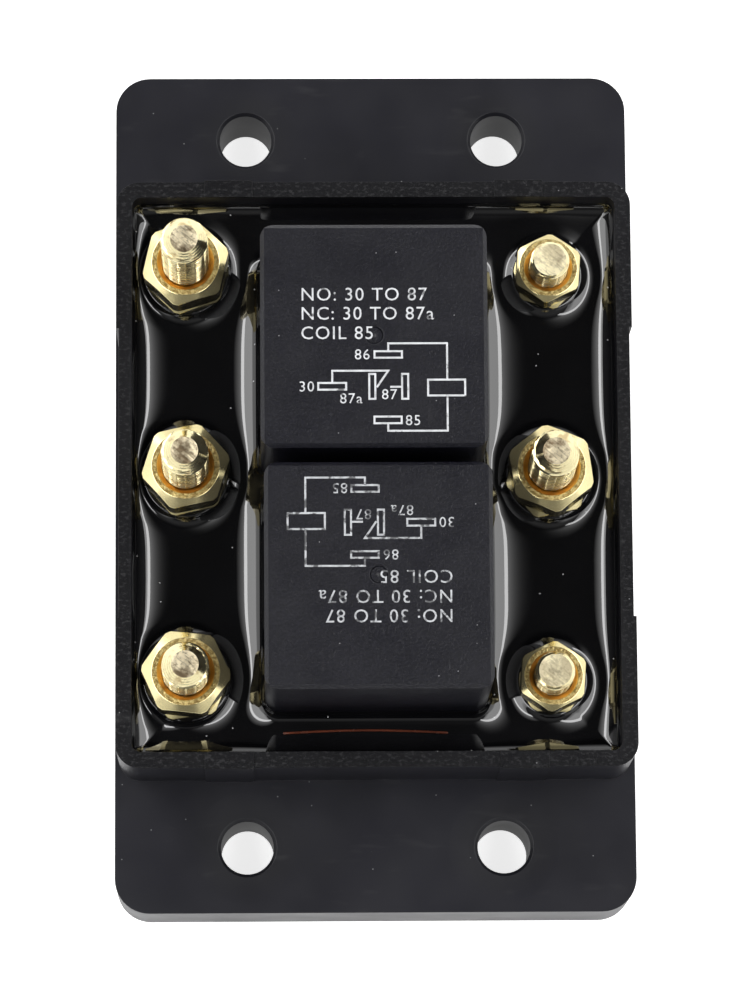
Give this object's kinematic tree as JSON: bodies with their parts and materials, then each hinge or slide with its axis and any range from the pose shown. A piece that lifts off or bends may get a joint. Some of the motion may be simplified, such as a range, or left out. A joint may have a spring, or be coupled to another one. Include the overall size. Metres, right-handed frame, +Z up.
{
  "type": "heavy-duty relay module",
  "caption": "Potted dual changeover relay module: flanged open tray with two cube relays and brass threaded terminal studs with nuts.",
  "frame": {"origin": "centre of the base's underside", "axes": "+Y along the length towards the upper relay, +X to the right seen from the terminals, +Z up out of the tray"},
  "size_m": [0.066, 0.1086, 0.041],
  "materials": {
    "housing_plastic": "fine moulded texture, black glass-filled nylon",
    "potting_resin": "glossy black epoxy with a meniscus round all it meets",
    "cover_plastic": "matt charcoal relay covers with white print",
    "relay_plastic": "plain black moulding",
    "board_laminate": "green glass laminate",
    "copper": "bare rolled copper",
    "enamelled_wire": "red-brown enamel",
    "stud_brass": "rolled thread, bright, scratched end",
    "nut_brass": "bright flats, dull granular top",
    "relay_steel": "plated soft iron",
    "spring_steel": "drawn wire",
    "bobbin_plastic": "brown nylon",
    "coil_wire": "enamelled copper winding",
    "resistor_body": "lacquered"
  },
  "bodies": {
    "module": {"housing": "housing_plastic", "potting": "potting_resin", "circuit_board": "board_laminate", "busbar_motor_a": "copper", "busbar_motor_b": "copper", "busbar_positive": "copper", "busbar_negative": "copper", "cross_link_positive": "copper", "cross_link_negative": "copper", "trigger_tab_top": "copper", "trigger_tab_bottom": "copper", "link_wire": "enamelled_wire", "stud_left_top": "stud_brass", "stud_left_middle": "stud_brass", "stud_left_bottom": "stud_brass", "stud_right_top": "stud_brass", "stud_right_middle": "stud_brass", "stud_right_bottom": "stud_brass", "seat_nut_left_top": "nut_brass", "seat_nut_left_middle": "nut_brass", "seat_nut_left_bottom": "nut_brass", "seat_nut_right_top": "nut_brass", "seat_nut_right_middle": "nut_brass", "seat_nut_right_bottom": "nut_brass", "upper_cover": "cover_plastic", "upper_relay_base": "relay_plastic", "upper_yoke": "relay_steel", "upper_core": "relay_steel", "upper_bobbin": "bobbin_plastic", "upper_coil": "coil_wire", "upper_return_spring": "spring_steel", "upper_open_contact": "copper", "upper_closed_contact": "copper", "upper_common_terminal": "copper", "upper_coil_terminals": "copper", "upper_resistor": "resistor_body", "lower_cover": "cover_plastic", "lower_relay_base": "relay_plastic", "lower_yoke": "relay_steel", "lower_core": "relay_steel", "lower_bobbin": "bobbin_plastic", "lower_coil": "coil_wire", "lower_return_spring": "spring_steel", "lower_open_contact": "copper", "lower_closed_contact": "copper", "lower_common_terminal": "copper", "lower_coil_terminals": "copper", "lower_resistor": "resistor_body"},
    "nut_left_top": {"terminal_nut_left_top": "nut_brass"},
    "nut_left_middle": {"terminal_nut_left_middle": "nut_brass"},
    "nut_left_bottom": {"terminal_nut_left_bottom": "nut_brass"},
    "nut_right_top": {"terminal_nut_right_top": "nut_brass"},
    "nut_right_middle": {"terminal_nut_right_middle": "nut_brass"},
    "nut_right_bottom": {"terminal_nut_right_bottom": "nut_brass"},
    "upper_armature_set": {"upper_armature": "relay_steel", "upper_contact_blade": "copper"},
    "lower_armature_set": {"lower_armature": "relay_steel", "lower_contact_blade": "copper"}
  },
  "joints": [
    {"name": "nut_left_top_travel", "type": "slide", "parent": "module", "child": "nut_left_top", "axis": [0, 0, 1], "range_m": [0, 0.018]},
    {"name": "nut_left_middle_travel", "type": "slide", "parent": "module", "child": "nut_left_middle", "axis": [0, 0, 1], "range_m": [0, 0.015]},
    {"name": "nut_left_bottom_travel", "type": "slide", "parent": "module", "child": "nut_left_bottom", "axis": [0, 0, 1], "range_m": [0, 0.0115]},
    {"name": "nut_right_top_travel", "type": "slide", "parent": "module", "child": "nut_right_top", "axis": [0, 0, 1], "range_m": [0, 0.0085]},
    {"name": "nut_right_middle_travel", "type": "slide", "parent": "module", "child": "nut_right_middle", "axis": [0, 0, 1], "range_m": [0, 0.016]},
    {"name": "nut_right_bottom_travel", "type": "slide", "parent": "module", "child": "nut_right_bottom", "axis": [0, 0, 1], "range_m": [0, 0.0085]},
    {"name": "upper_armature_swing", "type": "hinge", "parent": "module", "child": "upper_armature_set", "pos_m": [-0.00815, 0.0139, 0.0338], "axis": [0, 1, 0], "range_deg": [0, 4], "stiffness_Nm_per_rad": 0.05, "springref_deg": -8.59, "deforming": ["upper_return_spring"]},
    {"name": "lower_armature_swing", "type": "hinge", "parent": "module", "child": "lower_armature_set", "pos_m": [0.00775, -0.0159, 0.0338], "axis": [0, -1, 0], "range_deg": [0, 4], "stiffness_Nm_per_rad": 0.05, "springref_deg": -8.59, "deforming": ["lower_return_spring"]}
  ]
}
